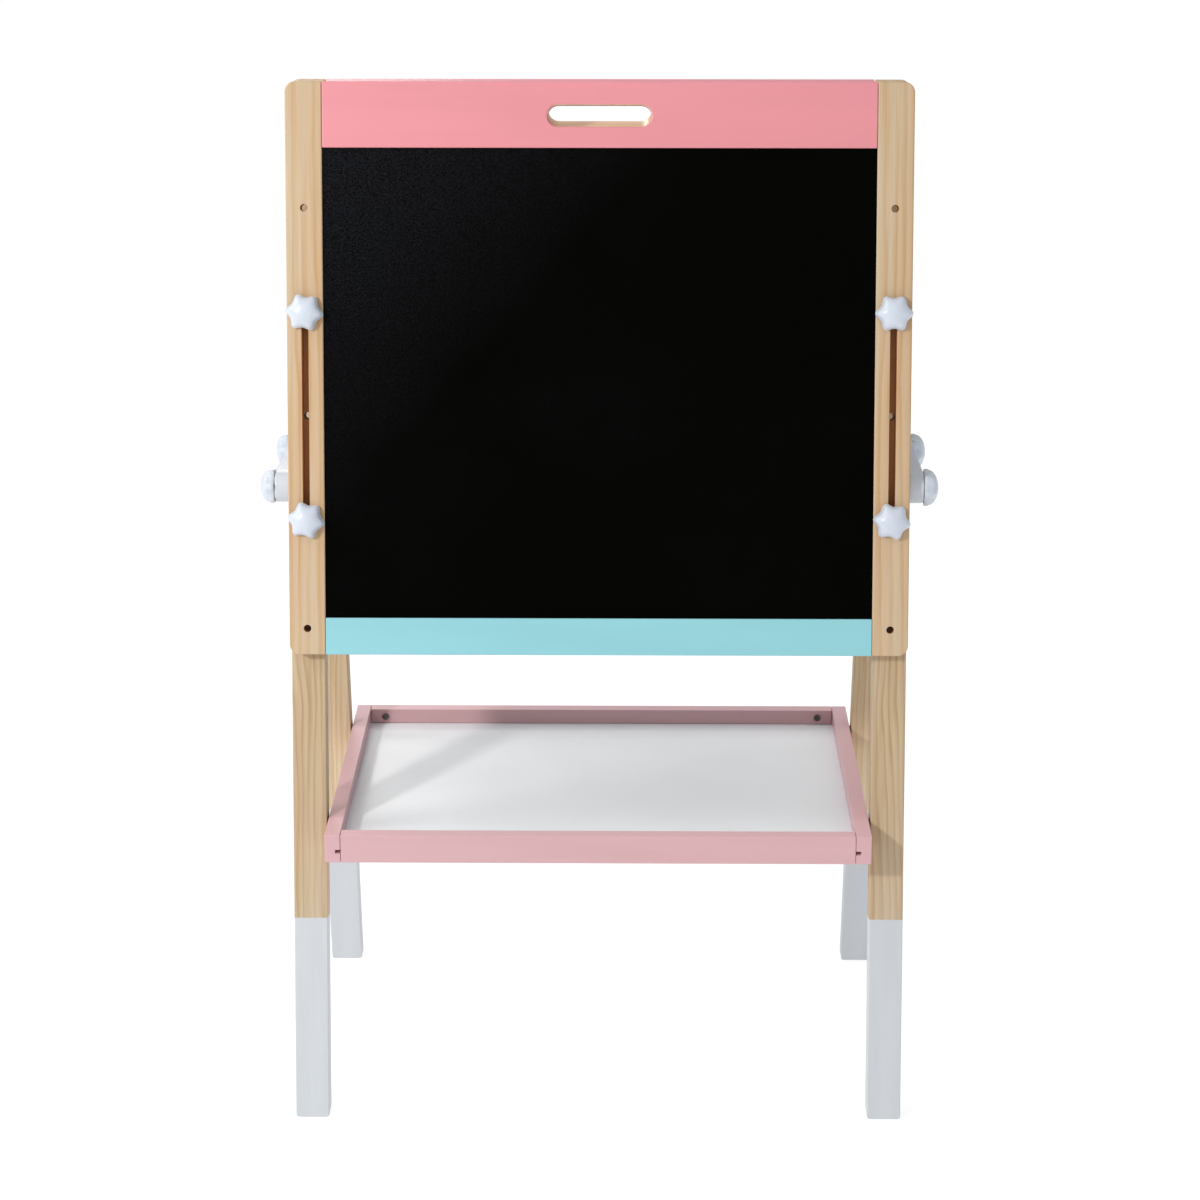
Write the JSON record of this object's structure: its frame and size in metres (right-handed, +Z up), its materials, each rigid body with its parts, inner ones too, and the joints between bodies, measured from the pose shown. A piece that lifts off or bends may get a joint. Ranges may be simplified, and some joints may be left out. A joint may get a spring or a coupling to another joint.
{
  "type": "kids easel",
  "caption": "Double-sided wooden children's easel with a framed chalkboard and a whiteboard, star knobs, folding side links and a low tray between the legs.",
  "frame": {"origin": "centre of the overall box, at floor level", "axes": "+Z up, -Y towards a child at the chalkboard, +X to that child's right"},
  "size_m": [0.6604, 0.406, 1.0002],
  "materials": {
    "stile_pine": "clear-coated straight-grained pine",
    "leg_pine": "clear-coated flat-sawn pine, feet dipped in white paint",
    "pink_rail": "pink satin paint on the face, bare pine inside",
    "teal_rail": "pale teal satin paint on the face, bare pine inside",
    "tray_rail": "pale pink satin paint",
    "chalkboard": "matt black chalkboard coating",
    "whiteboard": "glossy white marker board",
    "tray_floor": "white laminate",
    "white_plastic": "white satin moulded plastic",
    "zinc": "zinc-plated steel",
    "dark_steel": "dark plated steel"
  },
  "bodies": {
    "front_legs": {"front_left_leg": "leg_pine", "front_left_link_insert": "zinc", "front_left_tray_bolt": "dark_steel", "front_left_tray_washer": "dark_steel", "front_lower_left_tee_nut": "zinc", "front_upper_left_tee_nut": "zinc", "front_right_leg": "leg_pine", "front_right_link_insert": "zinc", "front_right_tray_bolt": "dark_steel", "front_right_tray_washer": "dark_steel", "front_lower_right_tee_nut": "zinc", "front_upper_right_tee_nut": "zinc"},
    "rear_legs": {"rear_left_leg": "leg_pine", "rear_left_link_insert": "zinc", "rear_left_tray_bolt": "dark_steel", "rear_left_tray_washer": "dark_steel", "rear_lower_left_tee_nut": "zinc", "rear_upper_left_tee_nut": "zinc", "rear_right_leg": "leg_pine", "rear_right_link_insert": "zinc", "rear_right_tray_bolt": "dark_steel", "rear_right_tray_washer": "dark_steel", "rear_lower_right_tee_nut": "zinc", "rear_upper_right_tee_nut": "zinc"},
    "front_board": {"front_board_left_stile": "stile_pine", "front_board_right_stile": "stile_pine", "front_board_top_rail": "pink_rail", "front_board_bottom_rail": "teal_rail", "front_chalkboard_panel": "chalkboard"},
    "rear_board": {"rear_board_left_stile": "stile_pine", "rear_board_right_stile": "stile_pine", "rear_board_top_rail": "pink_rail", "rear_board_bottom_rail": "teal_rail", "rear_whiteboard_panel": "whiteboard"},
    "side_links": {"left_link": "white_plastic", "right_link": "white_plastic"},
    "tray": {"tray_left_rail": "tray_rail", "tray_right_rail": "tray_rail", "tray_front_rail": "tray_rail", "tray_rear_rail": "tray_rail", "tray_floor_panel": "tray_floor", "tray_left_screw": "dark_steel", "tray_right_screw": "dark_steel"},
    "front_lower_left_board_knob_body": {"front_lower_left_board_knob": "white_plastic"},
    "front_upper_left_board_knob_body": {"front_upper_left_board_knob": "white_plastic"},
    "front_left_link_knob_body": {"front_left_link_knob": "white_plastic"},
    "front_lower_right_board_knob_body": {"front_lower_right_board_knob": "white_plastic"},
    "front_upper_right_board_knob_body": {"front_upper_right_board_knob": "white_plastic"},
    "front_right_link_knob_body": {"front_right_link_knob": "white_plastic"},
    "rear_lower_left_board_knob_body": {"rear_lower_left_board_knob": "white_plastic"},
    "rear_upper_left_board_knob_body": {"rear_upper_left_board_knob": "white_plastic"},
    "rear_left_link_knob_body": {"rear_left_link_knob": "white_plastic"},
    "rear_lower_right_board_knob_body": {"rear_lower_right_board_knob": "white_plastic"},
    "rear_upper_right_board_knob_body": {"rear_upper_right_board_knob": "white_plastic"},
    "rear_right_link_knob_body": {"rear_right_link_knob": "white_plastic"}
  },
  "joints": [
    {"name": "link_fold", "type": "hinge", "parent": "front_legs", "child": "side_links", "pos_m": [0, -0.06925, 0.61371], "axis": [1, 0, 0], "range_deg": [0, 64.7]},
    {"name": "rear_leg_fold", "type": "hinge", "parent": "side_links", "child": "rear_legs", "pos_m": [0, 0.06925, 0.61371], "axis": [1, 0, 0], "range_deg": [-88, 0.5]},
    {"name": "front_board_height", "type": "slide", "parent": "front_legs", "child": "front_board", "axis": [0, 0.1942, 0.981], "range_m": [-0.008, 0.008]},
    {"name": "rear_board_height", "type": "slide", "parent": "rear_legs", "child": "rear_board", "axis": [0, -0.1942, 0.981], "range_m": [-0.004, 0.012]},
    {"name": "tray_tilt", "type": "hinge", "parent": "front_legs", "child": "tray", "pos_m": [0, -0.13434, 0.285], "axis": [1, 0, 0], "range_deg": [-20, 22]},
    {"name": "front_lower_left_board_knob_turn", "type": "hinge", "parent": "front_legs", "child": "front_lower_left_board_knob_body", "pos_m": [-0.2825, -0.10529, 0.58924], "axis": [0, -0.981, 0.1942], "range_deg": [0, 720]},
    {"name": "front_upper_left_board_knob_turn", "type": "hinge", "parent": "front_legs", "child": "front_upper_left_board_knob_body", "pos_m": [-0.2825, -0.06644, 0.78543], "axis": [0, -0.981, 0.1942], "range_deg": [0, 720]},
    {"name": "front_left_link_knob_turn", "type": "hinge", "parent": "front_legs", "child": "front_left_link_knob_body", "pos_m": [-0.3156, -0.06925, 0.61371], "axis": [-1, 0, 0], "range_deg": [0, 720]},
    {"name": "front_lower_right_board_knob_turn", "type": "hinge", "parent": "front_legs", "child": "front_lower_right_board_knob_body", "pos_m": [0.2825, -0.10529, 0.58924], "axis": [0, -0.981, 0.1942], "range_deg": [0, 720]},
    {"name": "front_upper_right_board_knob_turn", "type": "hinge", "parent": "front_legs", "child": "front_upper_right_board_knob_body", "pos_m": [0.2825, -0.06644, 0.78543], "axis": [0, -0.981, 0.1942], "range_deg": [0, 720]},
    {"name": "front_right_link_knob_turn", "type": "hinge", "parent": "front_legs", "child": "front_right_link_knob_body", "pos_m": [0.3156, -0.06925, 0.61371], "axis": [1, 0, 0], "range_deg": [0, 720]},
    {"name": "rear_lower_left_board_knob_turn", "type": "hinge", "parent": "rear_legs", "child": "rear_lower_left_board_knob_body", "pos_m": [-0.2825, 0.10529, 0.58924], "axis": [0, 0.981, 0.1942], "range_deg": [0, 720]},
    {"name": "rear_upper_left_board_knob_turn", "type": "hinge", "parent": "rear_legs", "child": "rear_upper_left_board_knob_body", "pos_m": [-0.2825, 0.06644, 0.78543], "axis": [0, 0.981, 0.1942], "range_deg": [0, 720]},
    {"name": "rear_left_link_knob_turn", "type": "hinge", "parent": "rear_legs", "child": "rear_left_link_knob_body", "pos_m": [-0.3156, 0.06925, 0.61371], "axis": [-1, 0, 0], "range_deg": [0, 720]},
    {"name": "rear_lower_right_board_knob_turn", "type": "hinge", "parent": "rear_legs", "child": "rear_lower_right_board_knob_body", "pos_m": [0.2825, 0.10529, 0.58924], "axis": [0, 0.981, 0.1942], "range_deg": [0, 720]},
    {"name": "rear_upper_right_board_knob_turn", "type": "hinge", "parent": "rear_legs", "child": "rear_upper_right_board_knob_body", "pos_m": [0.2825, 0.06644, 0.78543], "axis": [0, 0.981, 0.1942], "range_deg": [0, 720]},
    {"name": "rear_right_link_knob_turn", "type": "hinge", "parent": "rear_legs", "child": "rear_right_link_knob_body", "pos_m": [0.3156, 0.06925, 0.61371], "axis": [1, 0, 0], "range_deg": [0, 720]}
  ],
  "couplings": [
    {"joint": "rear_leg_fold", "follows": "link_fold", "ratio": -1.3462}
  ]
}
